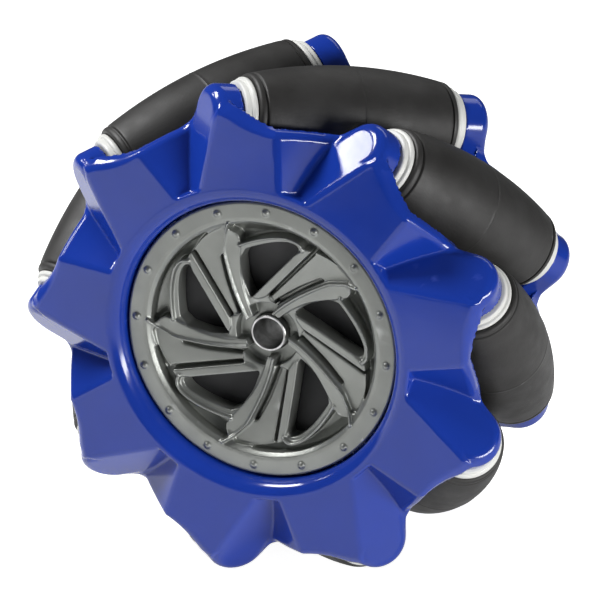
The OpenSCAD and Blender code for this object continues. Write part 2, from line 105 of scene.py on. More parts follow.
EAR_IN = FLANGE_END + 0.3
EAR_OUT = 27.7
EAR_R = 5.6
EAR_STEM = AXIS_R - 20
EAR_EDGE_FROM = 1.5
EAR_EDGE_OVER = 2.5
AXLE_R = 1.5
AXLE_END = 26.0
WALL = 2.3
CROWN_R = 41.3
CROWN_LOW = 8.0
DRUM_R = 28.4
DRUM_IN_R = 27.0
LAP = 1.6
LAP_R = (DRUM_R + DRUM_IN_R) / 2
BEAD_R = 30.3
LEDGE_Z = FRONT_Z - 5.2
LEDGE_T = 2.0
LEDGE_W = 2.8
NOTCH_SLOPE = math.radians(41.5)
NOTCH_TWIST = math.radians(0.8)
NOTCH_MIDDLE_R = 36
NOTCH_HEADING = math.radians(34)
NOTCH_OFFSET = 7.0

SHELL_TRIANGLES = 150_000
CAP_TRIANGLES = 130_000
TREAD_SEGMENTS = 96
CORE_SEGMENTS = 72


class WheelSizes(bpy.types.PropertyGroup):
    """Sizes of the mouldings' soft edges and of the fine forms of the rollers."""

    edge_rounding: bpy.props.FloatProperty(
        name="Edge rounding", description="Rounding of the crown's outer edges",
        default=1.3 * MM, min=0.3 * MM, max=2 * MM, unit="LENGTH", subtype="DISTANCE")
    ear_rounding: bpy.props.FloatProperty(
        name="Ear rounding", description="Rounding of the ears' own outer edges",
        default=2.1 * MM, min=0.3 * MM, max=3 * MM, unit="LENGTH", subtype="DISTANCE")
    web_fillet: bpy.props.FloatProperty(
        name="Web fillet", description="Hollow rounding on the side where a web carries the ear",
        default=7.0 * MM, min=0.1 * MM, max=9 * MM, unit="LENGTH", subtype="DISTANCE")
    crease_rounding: bpy.props.FloatProperty(
        name="Crease rounding", description="Rounding of the ridges between the crown's facets",
        default=0.5 * MM, min=0.1 * MM, max=2 * MM, unit="LENGTH", subtype="DISTANCE")
    valley_rounding: bpy.props.FloatProperty(
        name="Valley rounding", description="Rounding of the valleys of the notches",
        default=0.35 * MM, min=0.1 * MM, max=2 * MM, unit="LENGTH", subtype="DISTANCE")
    ear_fillet: bpy.props.FloatProperty(
        name="Ear fillet", description="Hollow rounding where an ear grows out of the crown",
        default=1.5 * MM, min=0.1 * MM, max=4 * MM, unit="LENGTH", subtype="DISTANCE")
    mouth_rounding: bpy.props.FloatProperty(
        name="Mouth rounding", description="Rounding of the bead around the shells' mouths",
        default=2.9 * MM, min=1 * MM, max=3 * MM, unit="LENGTH", subtype="DISTANCE")
    shell_voxel: bpy.props.FloatProperty(
        name="Shell grid", description="Grid that the shells are meshed on",
        default=0.45 * MM, min=0.3 * MM, max=1 * MM, unit="LENGTH", subtype="DISTANCE")
    cap_voxel: bpy.props.FloatProperty(
        name="Cap grid", description="Grid that the hub caps are meshed on",
        default=0.2 * MM, min=0.15 * MM, max=0.5 * MM, unit="LENGTH", subtype="DISTANCE")
    cap_softness: bpy.props.FloatProperty(
        name="Cap softness", description="Width over which the coat softens the caps' edges",
        default=0.14 * MM, min=0.05 * MM, max=0.5 * MM, unit="LENGTH", subtype="DISTANCE")
    parting_line: bpy.props.FloatProperty(
        name="Parting line", description="Height of the mould's line round the middle of a tread",
        default=0.05 * MM, min=0, max=0.2 * MM, unit="LENGTH", subtype="DISTANCE")


class WheelColours(bpy.types.PropertyGroup):
    """Colours of the finishes."""

    shell: bpy.props.FloatVectorProperty(
        name="Shells", description="Moulded blue plastic", subtype="COLOR", size=4,
        default=(0.008, 0.035, 0.30, 1), min=0, max=1)
    cap: bpy.props.FloatVectorProperty(
        name="Hub caps", description="Gunmetal coat", subtype="COLOR", size=4,
        default=(0.30, 0.31, 0.29, 1), min=0, max=1)
    tread: bpy.props.FloatVectorProperty(
        name="Treads", description="Black rubber", subtype="COLOR", size=4,
        default=(0.012, 0.011, 0.010, 1), min=0, max=1)
    core: bpy.props.FloatVectorProperty(
        name="Cores", description="White nylon", subtype="COLOR", size=4,
        default=(0.74, 0.74, 0.71, 1), min=0, max=1)
    floor: bpy.props.FloatVectorProperty(
        name="Floor", description="Studio floor", subtype="COLOR", size=4,
        default=(0.80, 0.80, 0.80, 1), min=0, max=1)


# ---------------------------------------------------------------- solids as fields of distance

def both(a, b, r):
    """What is inside a and b, with the edge between them rounded."""
    edge = np.hypot(np.maximum(a + r, 0), np.maximum(b + r, 0))
    return np.minimum(np.maximum(a, b), -r) + edge


def either(a, b, r):
    """What is inside a or b, with the valley between them rounded."""
    valley = np.hypot(np.maximum(r - a, 0), np.maximum(r - b, 0))
    return np.maximum(np.minimum(a, b), r) - valley


class HalfShell:
    """One crown shell with its drum, drawn with the front up +Z; lengths in mm."""

    def __init__(self, sizes, is_front):
        self.edge = sizes.edge_rounding / MM
        self.ear_edge = sizes.ear_rounding / MM
        self.web = sizes.web_fillet / MM
        self.crease = sizes.crease_rounding / MM
        self.valley = sizes.valley_rounding / MM
        self.fillet = sizes.ear_fillet / MM
        self.mouth = sizes.mouth_rounding / MM
        self.is_front = is_front

    def lobe(self, x, y, z, at):
        """Distances in one lobe: along its axle, across it, and out past it; and above the notch."""
        side = x * math.cos(at) - y * math.sin(at)
        up = x * math.sin(at) + y * math.cos(at)
        along = z * math.cos(LEAN) - side * math.sin(LEAN)
        across = side * math.cos(LEAN) + z * math.sin(LEAN)
        heading = side * math.sin(NOTCH_HEADING) + up * math.cos(NOTCH_HEADING) - NOTCH_OFFSET
        steep = NOTCH_SLOPE + NOTCH_TWIST * (NOTCH_MIDDLE_R - np.hypot(x, y))
        slope = heading * np.sin(steep) + (z - FRONT_Z) * np.cos(steep)
        return side, along, across, up - AXIS_R, slope

    def seat(self, side, along, across, out, z):
        """The axle's seat, open towards the parting side."""
        r = AXLE_R + SEAT_GAP
        end = AXLE_END + SEAT_GAP
        bore = np.maximum(np.hypot(across, out) - r, np.maximum(along - end, EAR_IN - 1 - along))
        place = -side / math.sin(LEAN)
        ends = np.maximum(place - end, EAR_IN - 1 - place) * math.sin(LEAN)
        slot = np.maximum(np.maximum(np.abs(out) - r, ends), z - place * math.cos(LEAN))
        return np.minimum(bore, slot)

    def drum(self, rho, z):
        outer = rho - DRUM_R
        if self.is_front:
            lap = np.where(z < 0, rho - LAP_R, outer)
            return np.maximum(np.maximum(lap, outer), -LAP - z)
        lap = np.where(z < LAP, LAP_R + SEAT_GAP - rho, -z)
        return np.maximum(np.maximum(outer, lap), -z)

    def __call__(self, x, y, z):
        rho = np.hypot(x, y)
        top = z - FRONT_Z
        inside = top + WALL
        outline = rho - CROWN_R
        ears, seats = 99.0, 99.0
        for i in range(ROLLERS):
            side, along, across, out, slope = self.lobe(x, y, z, FIRST_AT + i * LOBE_TURN)
            face = along - EAR_OUT
            surface = either(either(face, slope, self.valley), rho - BEAD_R, self.valley)
            top = both(top, surface, self.crease)
            inside = np.maximum(inside, np.minimum(face, slope) + WALL)
            round_r = np.where(out > 0, np.hypot(across, out), np.abs(across)) - EAR_R
            round_r = np.maximum(round_r, -out - EAR_STEM)
            length = np.maximum(EAR_IN - along, face)
            web = self.fillet + (self.web - self.fillet) * np.clip(across / EAR_R, 0, 1)
            outline = either(outline, np.maximum(round_r, length), web)
            ears = np.minimum(ears, np.maximum(both(round_r, face, self.ear_edge), EAR_IN - along))
            seats = np.minimum(seats, self.seat(side, along, across, out, z))
        bead = np.maximum(rho - BEAD_R, FRONT_Z - WALL - z)
        hollow = np.maximum(inside, -bead)
        towards_ear = np.clip((rho - CROWN_R - EAR_EDGE_FROM) / EAR_EDGE_OVER, 0, 1)
        edge = self.edge + (self.ear_edge - self.edge) * towards_ear
        plate = np.maximum(both(top, outline, edge), np.maximum(-hollow, CROWN_LOW - z))
        ears = np.maximum(both(ears, z - FRONT_Z, self.edge), np.maximum(-z, LAP_R - rho))
        solid = np.maximum(np.minimum(plate, ears), -seats)
        solid = np.minimum(solid, np.maximum(self.drum(rho, z), z - FRONT_Z))
        solid = np.maximum(solid, both(DRUM_IN_R - rho, z - FRONT_Z, self.mouth))
        ledge = np.maximum(np.maximum(DRUM_IN_R - LEDGE_W - rho, rho - LAP_R),
                           np.abs(z - LEDGE_Z + LEDGE_T / 2) - LEDGE_T / 2)
        return np.minimum(solid, ledge)


class CastCopy:
    """A CAD node's solid as a field, with its edges softened as a coat of paint softens them."""

    def __init__(self, node, voxel, softness):
        mesh = frame["nodes"][node].data
        mesh.calc_loop_triangles()
        points = np.empty(len(mesh.vertices) * 3, np.float32)
        mesh.vertices.foreach_get("co", points)
        corners = np.empty(len(mesh.loop_triangles) * 3, np.int32)
        mesh.loop_triangles.foreach_get("vertices", corners)
        points = points.reshape(-1, 3) / MM
        band = 5
        grid = openvdb.FloatGrid.createLevelSetFromPolygons(
            points, triangles=corners.reshape(-1, 3).astype(np.uint32),
            transform=openvdb.createLinearTransform(voxelSize=voxel), halfWidth=band)
        margin = band + 1
        self.voxel = voxel
        self.first = np.floor(points.min(0) / voxel).astype(int) - margin
        count = np.ceil(points.max(0) / voxel).astype(int) + margin - self.first
        self.values = np.empty(count, np.float32)
        grid.copyToArray(self.values, ijk=tuple(int(i) for i in self.first))
        reach = int(math.ceil(3 * softness / voxel))
        steps = np.arange(-reach, reach + 1) * voxel / softness
        weights = np.exp(-steps ** 2 / 2)
        weights /= weights.sum()
        for axis in range(3):
            rim = [(reach, reach) if a == axis else (0, 0) for a in range(3)]
            padded = np.pad(self.values, rim, mode="edge")
            length = self.values.shape[axis]
            self.values = sum(w * np.take(padded, range(i, i + length), axis)
                              for i, w in enumerate(weights)).astype(np.float32)

    def __call__(self, x, y, z):
        total = 0
        cells, parts = [], []
        for value, low, size in zip((x, y, z), self.first, self.values.shape):
            place = np.clip(value / self.voxel - low, 0, size - 1.001)
            cell = np.floor(place).astype(int)
            cells.append(cell)
            parts.append(place - cell)
        for i in (0, 1):
            for j in (0, 1):
                for k in (0, 1):
                    weight = 1
                    for side, part in zip((i, j, k), parts):
                        weight = weight * (part if side else 1 - part)
                    total = total + weight * self.values[cells[0] + i, cells[1] + j, cells[2] + k]
        return total


def field_slope(field, points, step):
    """Direction in which the field grows at each point."""
    slopes = []
    for axis in range(3):
        ahead, behind = points.copy(), points.copy()
        ahead[:, axis] += step
        behind[:, axis] -= step
        slopes.append(field(*ahead.T) - field(*behind.T))
    return np.stack(slopes, 1) / (2 * step)


def skin(name, field, low, high, voxel, faces, place):
    """Meshes the skin of a field on a grid, thins it, and lays it and its normals on the skin."""
    margin = 2
    axes = [np.arange(math.floor(a / voxel) - margin, math.ceil(b / voxel) + margin + 1) * voxel
            for a, b in zip(low, high)]
    values = np.concatenate([field(*np.ix_(part, axes[1], axes[2])).astype(np.float32)
                             for part in np.array_split(axes[0], 8)])
    band = 3 * voxel
    grid = openvdb.FloatGrid(band)
    grid.copyFromArray(np.ascontiguousarray(np.clip(values, -band, band)))
    points, quads = grid.convertToQuads(isovalue=0)
    points = points * voxel + [a[0] for a in axes]
    corners = points[quads.astype(int)]
    volume = np.einsum("ij,ij->", corners[:, 0], np.cross(corners[:, 1], corners[:, 2]))
    if volume < 0:
        quads = quads[:, ::-1]
    raw = bpy.data.meshes.new(name)
    raw.from_pydata(points.tolist(), [], quads.astype(int).tolist())
    thinned = bpy.data.objects.new(name, raw)
    bpy.context.scene.collection.objects.link(thinned)
    triangles = 2 * len(quads)
    if triangles > faces:
        modifier = thinned.modifiers.new("thin", "DECIMATE")
        modifier.ratio = faces / triangles
    view = bpy.context.evaluated_depsgraph_get()
    mesh = bpy.data.meshes.new_from_object(thinned.evaluated_get(view))
    bpy.data.objects.remove(thinned)
    bpy.data.meshes.remove(raw)
    mesh.name = name
    points = np.empty(len(mesh.vertices) * 3)
    mesh.vertices.foreach_get("co", points)
    points = points.reshape(-1, 3)
    step = voxel / 6
    for _ in range(3):
        slopes = field_slope(field, points, step)
        square = np.maximum((slopes ** 2).sum(1), 0.05)
        move = field(*points.T)[:, None] * slopes / square[:, None]
        far = np.linalg.norm(move, axis=1, keepdims=True)
        points -= move * np.minimum(1, voxel / 2 / np.maximum(far, 1e-9))
    normals = field_slope(field, points, step)
    normals /= np.maximum(np.linalg.norm(normals, axis=1, keepdims=True), 1e-9)
    turned = np.array(place.to_3x3())
    mesh.vertices.foreach_set("co", ((points * MM) @ turned.T).astype(np.float32).ravel())
    mesh.update()
    mesh.polygons.foreach_set("use_smooth", [True] * len(mesh.polygons))
    mesh.normals_split_custom_set_from_vertices((normals @ turned.T).tolist())
    piece = bpy.data.objects.new(name, mesh)
    bpy.context.scene.collection.objects.link(piece)
    return piece


WHEEL_FRAME = Matrix(((1, 0, 0), (0, 0, -1), (0, 1, 0)))
REAR_SIDE = Matrix.Rotation(-2 * FIRST_AT, 3, "Z") @ Matrix.Rotation(math.pi, 3, "Y")


# ---------------------------------------------------------------- rollers

def tread_radius(along):
    """Radius of a roller at a place along its axle, so that the rollers together make one circle."""
    tangent = math.sin(LEAN) ** 2
    touch = along
    for _ in range(8):
        away = math.sqrt(AXIS_R ** 2 + touch ** 2 * tangent)
        touch = along / (1 + (WHEEL_R - away) * tangent / away)
    away = math.sqrt(AXIS_R ** 2 + touch ** 2 * tangent)
    return (WHEEL_R - away) * math.sqrt(1 - (touch * tangent / away) ** 2)


def tread_outline(parting_line):
    """Radius and place of the tread's profile, from its middle to its end."""
    lip = HALF_TREAD - TREAD_LIP
    groove = lip - TREAD_GROOVE_W
    steps = 44
    line_w, line_shoulder = 0.16, 0.8
    line = [(0, parting_line), (line_w / 2, parting_line * line_shoulder), (line_w, 0)]
    middle = [(line_w + (groove - line_w) * i / steps, 0) for i in range(1, steps)]
    soft = 0.12
    end = 0.5
    cut = [(groove - soft, 0), (groove, -0.04), (groove + 0.08, -TREAD_GROOVE_DEPTH + soft),
           (groove + 0.16, -TREAD_GROOVE_DEPTH), (lip - 0.16, -TREAD_GROOVE_DEPTH),
           (lip - 0.08, -TREAD_GROOVE_DEPTH + soft), (lip, -0.04), (lip + soft, 0)]
    rim = [(HALF_TREAD - end + end * math.sin(a), -end * (1 - math.cos(a)))
           for a in np.linspace(0, math.pi / 2, 6)]
    rows = line + middle + cut + rim
    profile = [(tread_radius(a) + rise, a) for a, rise in rows]
    hole = CORE_R + SEAT_GAP
    profile.append((hole + 0.15, HALF_TREAD))
    profile.append((hole, HALF_TREAD - 0.15))
    return profile


def core_outline():
    """Radius and place of the core's profile, from its middle to its end and back in its hole."""
    face = HALF_TREAD + CORE_GAP
    step = FLANGE_END - FLANGE_T / 2
    soft = 0.42

    def rounded(r, z, way):
        return [(r - soft + soft * math.sin(a), z + way * soft * (1 - math.cos(a)))
                for a in np.linspace(0, math.pi / 2, 5)]

    lower = rounded(FLANGE_R, face, 1)
    upper = [(r, z) for r, z in reversed(rounded(FLANGE_R, step, -1))]
    last = [(r, z) for r, z in reversed(rounded(FLANGE_STEP_R, FLANGE_END, -1))]
    profile = [(CORE_R, 0), (CORE_R, face - 0.2), (CORE_R + 0.2, face)]
    profile += lower + upper
    profile += [(FLANGE_STEP_R + 0.12, step), (FLANGE_STEP_R, step + 0.1)]
    profile += last
    profile += [(BUSH_HOLE_R + 0.2, FLANGE_END), (BUSH_HOLE_R, FLANGE_END - 0.2),
                (BUSH_HOLE_R, BUSH_FROM), (AXLE_HOLE_R, BUSH_FROM)]
    return profile


def turned_piece(name, outline, place, segments):
    """Turns a profile about a roller's own axle and closes it through its hole."""
    ring = [(r, -z) for r, z in reversed(outline) if z > 0] + list(outline)
    points, faces = [], []
    count = len(ring)
    for i in range(segments):
        angle = 2 * math.pi * i / segments
        points += [place @ Vector((r * math.cos(angle), r * math.sin(angle), z)) for r, z in ring]
    for i in range(segments):
        here, there = i * count, (i + 1) % segments * count
        for k in range(count):
            m = (k + 1) % count
            faces.append((here + k, here + m, there + m, there + k))
    mesh = bpy.data.meshes.new(name)
    mesh.from_pydata(points, [], faces)
    mesh.update()
    mesh.polygons.foreach_set("use_smooth", [True] * len(mesh.polygons))
    mesh.set_sharp_from_angle(angle=math.radians(50))
    piece = bpy.data.objects.new(name, mesh)
    bpy.context.scene.collection.objects.link(piece)
    return piece


def roller_place(joint):
    """Turns a piece drawn along +Z into a roller's place; drawn in mm."""
    axis = Vector(joint["axis"])
    out = Vector(joint["pos_m"]).normalized()
    across = out.cross(axis)
    turn = Matrix((across, out, axis)).transposed()
    return Matrix.Translation(joint["pos_m"]) @ turn.to_4x4() @ Matrix.Scale(MM, 4)


# ---------------------------------------------------------------- finishes

def put(tree, kind, settings=None, inputs=None):
    """Adds a node with its settings, and sets or links its inputs."""
    node = tree.nodes.new(kind)
    for key, value in (settings or {}).items():
        setattr(node, key, value)
    for key, value in (inputs or {}).items():
        if isinstance(value, bpy.types.NodeSocket):
            tree.links.new(value, node.inputs[key])
        else:
            node.inputs[key].default_value = value
    return node


def new_group(name, inputs, outputs):
    """An empty shader group with named float or colour sockets."""
    tree = bpy.data.node_groups.new(name, "ShaderNodeTree")
    for label, kind, value in inputs:
        socket = tree.interface.new_socket(label, in_out="INPUT", socket_type=kind)
        socket.default_value = value
    for label, kind in outputs:
        tree.interface.new_socket(label, in_out="OUTPUT", socket_type=kind)
    return tree, tree.nodes.new("NodeGroupInput"), tree.nodes.new("NodeGroupOutput")


FLOAT = "NodeSocketFloat"


def grain_group():
    """Fine random relief of a moulded or painted skin."""
    if "skin grain" in bpy.data.node_groups:
        return bpy.data.node_groups["skin grain"]
    tree, given, made = new_group(
        "skin grain", [("Per Metre", FLOAT, 3000.0), ("Detail", FLOAT, 2.0)], [("Height", FLOAT)])
    where = put(tree, "ShaderNodeTexCoord")
    noise = put(tree, "ShaderNodeTexNoise", None, {
        "Vector": where.outputs["Object"], "Scale": given.outputs["Per Metre"],
        "Detail": given.outputs["Detail"], "Roughness": 0.6})
    tree.links.new(noise.outputs["Fac"], made.inputs["Height"])
    return tree


def drift_group():
    """Slow change from place to place between two values, as handling and moulding leave."""
    if "slow drift" in bpy.data.node_groups:
        return bpy.data.node_groups["slow drift"]
    tree, given, made = new_group(
        "slow drift",
        [("Per Metre", FLOAT, 60.0), ("Low", FLOAT, 0.0), ("High", FLOAT, 1.0)],
        [("Value", FLOAT)])
    where = put(tree, "ShaderNodeTexCoord")
    noise = put(tree, "ShaderNodeTexNoise", None, {
        "Vector": where.outputs["Object"], "Scale": given.outputs["Per Metre"], "Detail": 4.0,
        "Roughness": 0.55})
    spread = put(tree, "ShaderNodeMapRange", None, {
        "Value": noise.outputs["Fac"], "From Min": 0.32, "From Max": 0.68,
        "To Min": given.outputs["Low"], "To Max": given.outputs["High"]})
    tree.links.new(spread.outputs["Result"], made.inputs["Value"])
    return tree


def wear_and_highlight_group():
    """Mask of the outer edges, broken up so that it looks worn and not drawn; the edges it lightens
    are partly worn and partly a painted highlight.
    """
    if "worn edges and painted highlight" in bpy.data.node_groups:
        return bpy.data.node_groups["worn edges and painted highlight"]
    tree, given, made = new_group(
        "worn edges and painted highlight",
        [("From", FLOAT, 0.52), ("To", FLOAT, 0.60), ("Per Metre", FLOAT, 400.0)],
        [("Mask", FLOAT)])
    shape = put(tree, "ShaderNodeNewGeometry")
    edge = put(tree, "ShaderNodeMapRange", None, {
        "Value": shape.outputs["Pointiness"], "From Min": given.outputs["From"],
        "From Max": given.outputs["To"]})
    where = put(tree, "ShaderNodeTexCoord")
    noise = put(tree, "ShaderNodeTexNoise", None, {
        "Vector": where.outputs["Object"], "Scale": given.outputs["Per Metre"], "Detail": 3.0})
    broken = put(tree, "ShaderNodeMapRange", None, {
        "Value": noise.outputs["Fac"], "From Min": 0.35, "From Max": 0.65})
    mask = put(tree, "ShaderNodeMath", {"operation": "MULTIPLY"}, {
        0: edge.outputs["Result"], 1: broken.outputs["Result"]})
    tree.links.new(mask.outputs[0], made.inputs["Mask"])
    return tree


def use_group(tree, group, **values):
    """Places a group in a material; underscores in the names stand for spaces."""
    node = put(tree, "ShaderNodeGroup", {"node_tree": group})
    for key, value in values.items():
        node.inputs[key.replace("_", " ")].default_value = value
    return node


def mixed(tree, mask, first, second):
    """Colour that goes from the first to the second with a mask."""
    node = put(tree, "ShaderNodeMix", {"data_type": "RGBA"}, {"Factor": mask})
    for index, value in ((6, first), (7, second)):
        if isinstance(value, bpy.types.NodeSocket):
            tree.links.new(value, node.inputs[index])
        else:
            node.inputs[index].default_value = value
    return node.outputs[2]


def finish(name, base, second, low, high, metallic=0.0, drift=60.0, grain=3000.0,
           relief=0.02, wear_and_highlight_colour=None, wear_and_highlight_from=0.52, wear_and_highlight_to=0.60, detail=2.0, coat=0.0,
           specular=0.5, strength=1.0):
    """A moulded, painted or machined skin: drifting colour and gloss, grain, and lighter edges that
    are partly worn and partly a painted highlight.
    """
    if name in bpy.data.materials:
        return bpy.data.materials[name]
    material = bpy.data.materials.new(name)
    material.use_nodes = True
    tree = material.node_tree
    shader = tree.nodes["Principled BSDF"]
    change = use_group(tree, drift_group(), Per_Metre=drift)
    colour = mixed(tree, change.outputs["Value"], base, second)
    gloss = use_group(tree, drift_group(), Per_Metre=drift * 2.3, Low=low, High=high)
    # lighter outer edges: partly worn edges, partly a painted highlight along the rounded edges
    if wear_and_highlight_colour:
        edge_wear_and_highlight = use_group(tree, wear_and_highlight_group(), From=wear_and_highlight_from, To=wear_and_highlight_to)
        colour = mixed(tree, edge_wear_and_highlight.outputs["Mask"], colour, wear_and_highlight_colour)
    tree.links.new(colour, shader.inputs["Base Color"])
    tree.links.new(gloss.outputs["Value"], shader.inputs["Roughness"])
    height = use_group(tree, grain_group(), Per_Metre=grain, Detail=detail)
    bump = put(tree, "ShaderNodeBump", None, {
        "Strength": strength, "Distance": relief * MM, "Height": height.outputs["Height"]})
    tree.links.new(bump.outputs["Normal"], shader.inputs["Normal"])
    shader.inputs["Metallic"].default_value = metallic
    shader.inputs["Coat Weight"].default_value = coat
    shader.inputs["Specular IOR Level"].default_value = specular
    return material


def lighter(colour, by):
    """A colour moved towards white."""
    return tuple(c + (1 - c) * by for c in colour[:3]) + (1,)


def times(colour, by):
    """A colour made darker or brighter."""
    return tuple(min(1, c * by) for c in colour[:3]) + (1,)


def shell_finish(colours):
    # the brighter blue on the edges is partly worn plastic and partly a painted highlight
    return finish("blue moulding", colours.shell, times(colours.shell, 1.18), 0.10, 0.17,
                  drift=45.0, grain=420.0, relief=0.012, detail=3.0,
                  wear_and_highlight_colour=lighter(times(colours.shell, 1.5), 0.03), wear_and_highlight_from=0.54, wear_and_highlight_to=0.66)


def cap_finish(colours):
    # the lighter grey on the edges is partly worn coat and partly a painted highlight
    return finish("gunmetal coat", colours.cap, times(colours.cap, 0.86), 0.34, 0.46,
                  metallic=0.75, drift=90.0, grain=5200.0, relief=0.018, detail=2.0,
                  wear_and_highlight_colour=lighter(colours.cap, 0.25), wear_and_highlight_from=0.53, wear_and_highlight_to=0.62)


def graphite_finish():
    return finish("graphite moulding", (0.022, 0.022, 0.024, 1), (0.032, 0.032, 0.034, 1), 0.45,
                  0.6, grain=2600.0, relief=0.02)


def tread_finish(colours):
    return finish("tread rubber", colours.tread, lighter(colours.tread, 0.014), 0.50, 0.62,
                  drift=120.0, grain=2400.0, relief=0.03, detail=4.0,
                  wear_and_highlight_colour=lighter(colours.tread, 0.08), wear_and_highlight_from=0.53, wear_and_highlight_to=0.60, specular=0.5)


def core_finish(colours):
    return finish("white nylon", colours.core, times(colours.core, 0.93), 0.34, 0.48,
                  drift=150.0, grain=1900.0, relief=0.01)


def steel_finish():
    return finish("ground steel", (0.52, 0.52, 0.53, 1), (0.44, 0.44, 0.46, 1), 0.24, 0.38,
                  metallic=1.0, drift=300.0, grain=6000.0, relief=0.006)


def screw_finish():
    return finish("zinc steel", (0.30, 0.30, 0.31, 1), (0.22, 0.22, 0.24, 1), 0.34, 0.5,
                  metallic=1.0, drift=300.0, grain=4000.0, relief=0.01,
                  wear_and_highlight_colour=(0.5, 0.5, 0.5, 1))


def sleeve_finish():
    return finish("turned aluminium", (0.42, 0.42, 0.41, 1), (0.34, 0.34, 0.34, 1), 0.30, 0.44,
                  metallic=1.0, drift=200.0, grain=5000.0, relief=0.01,
                  wear_and_highlight_colour=(0.8, 0.8, 0.8, 1))


def bronze_finish():
    return finish("sintered bronze", (0.42, 0.26, 0.11, 1), (0.34, 0.20, 0.09, 1), 0.42, 0.55,
                  metallic=1.0, drift=300.0, grain=3500.0, relief=0.02)


def dress(piece, material):
    piece.data.materials.clear()
    piece.data.materials.append(material)


def place_piece(piece, node, body, material):
    """Gives a new piece its finish and body, and hides the CAD node that it stands for."""
    dress(piece, material)
    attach(piece, body)
    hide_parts(node)


# ---------------------------------------------------------------- operators

class BuildShell:
    """Common part of the two shell operators."""

    def build(self, context, name, node, is_front, turn):
        sizes, colours = context.scene.wheel_sizes, context.scene.wheel_colours
        low, high = (-WHEEL_R, -WHEEL_R, -LAP), (WHEEL_R, WHEEL_R, FRONT_Z)
        piece = skin(name, HalfShell(sizes, is_front), low, high,
                     sizes.shell_voxel / MM, SHELL_TRIANGLES, (WHEEL_FRAME @ turn).to_4x4())
        place_piece(piece, node, "hub", shell_finish(colours))
        return {"FINISHED"}


class WHEEL_OT_front_shell(BuildShell, bpy.types.Operator):
    """Build the front crown shell with its nine ears"""

    bl_idname = "wheel.front_shell"
    bl_label = "Front shell"

    def execute(self, context):
        return self.build(context, "front_crown", "front_shell", True, Matrix.Identity(3))


class WHEEL_OT_rear_shell(BuildShell, bpy.types.Operator):
    """Build the rear crown shell with its nine ears"""

    bl_idname = "wheel.rear_shell"
    bl_label = "Rear shell"

    def execute(self, context):
        return self.build(context, "rear_crown", "rear_shell", False, REAR_SIDE)


class BuildCap:
    """Common part of the two hub cap operators."""

    def build(self, context, name, node):
        sizes, colours = context.scene.wheel_sizes, context.scene.wheel_colours
        voxel = sizes.cap_voxel / MM
        low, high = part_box(node)
        field = CastCopy(node, voxel, sizes.cap_softness / MM)
        piece = skin(name, field, low / MM, high / MM, voxel, CAP_TRIANGLES, Matrix.Identity(4))
        place_piece(piece, node, "hub", cap_finish(colours))
        return {"FINISHED"}


class WHEEL_OT_front_cap(BuildCap, bpy.types.Operator):
    """Build the front hub cap with its turbine face and rivets"""

    bl_idname = "wheel.front_cap"
    bl_label = "Front hub cap"

    def execute(self, context):
        return self.build(context, "turbine_cap", "front_hub_cap")


class WHEEL_OT_rear_cap(BuildCap, bpy.types.Operator):
    """Build the rear hub cap with its drive hexagon"""

    bl_idname = "wheel.rear_cap"
    bl_label = "Rear hub cap"

    def execute(self, context):
        return self.build(context, "drive_cap", "rear_hub_cap")


class WHEEL_OT_treads(bpy.types.Operator):
    """Build the rubber treads of the rollers"""

    bl_idname = "wheel.treads"
    bl_label = "Treads"

    def execute(self, context):
        outline = tread_outline(context.scene.wheel_sizes.parting_line / MM)
        material = tread_finish(context.scene.wheel_colours)
        for joint in ROLLER_JOINTS:
            body = joint["child"]
            piece = turned_piece(f"{body}_rubber", outline, roller_place(joint), TREAD_SEGMENTS)
            place_piece(piece, f"{body}_tread", body, material)
        return {"FINISHED"}


class WHEEL_OT_cores(bpy.types.Operator):
    """Build the nylon cores of the rollers, with their stepped flanges"""

    bl_idname = "wheel.cores"
    bl_label = "Cores"

    def execute(self, context):
        outline = core_outline()
        material = core_finish(context.scene.wheel_colours)
        for joint in ROLLER_JOINTS:
            body = joint["child"]
            piece = turned_piece(f"{body}_nylon", outline, roller_place(joint), CORE_SEGMENTS)
            place_piece(piece, f"{body}_core", body, material)
        return {"FINISHED"}


class WHEEL_OT_hardware(bpy.types.Operator):
    """Give the hub core, sleeve, screws, axles and bushes their finishes"""

    bl_idname = "wheel.hardware"
    bl_label = "Hub core and hardware"

    def execute(self, context):
        nodes = frame["nodes"]
        dress(nodes["hub_core"], graphite_finish())
        dress(nodes["hub_sleeve"], sleeve_finish())
        dress(nodes["clamp_screws"], screw_finish())
        for joint in ROLLER_JOINTS:
            dress(nodes[f"{joint['child']}_axle"], steel_finish())
            dress(nodes[f"{joint['child']}_bushes"], bronze_finish())
        return {"FINISHED"}


def softbox(name, place, target, width, height, watts, colour=(1, 1, 1)):
    """An area lamp that faces a point."""
    lamp = bpy.data.lights.new(name, "AREA")
    lamp.shape = "RECTANGLE"
    lamp.size, lamp.size_y = width, height
    lamp.energy = watts
    lamp.color = colour
    holder = bpy.data.objects.new(name, lamp)
    holder.location = place
    holder.rotation_euler = (target - Vector(place)).to_track_quat("-Z", "Y").to_euler()
    bpy.context.scene.collection.objects.link(holder)


FLOOR_GLOW = 0.92
FLOOR_GLOW_IN_GLOSS = 0.45
# painted shade in the floor's reflections: the patch's edges and its colour
PAINTED_SHADE_FROM_X = (-0.11, -0.07)
PAINTED_SHADE_FROM_Y = (-0.16, -0.20)
PAINTED_SHADE_COLOUR = (0.03, 0.03, 0.03, 1)


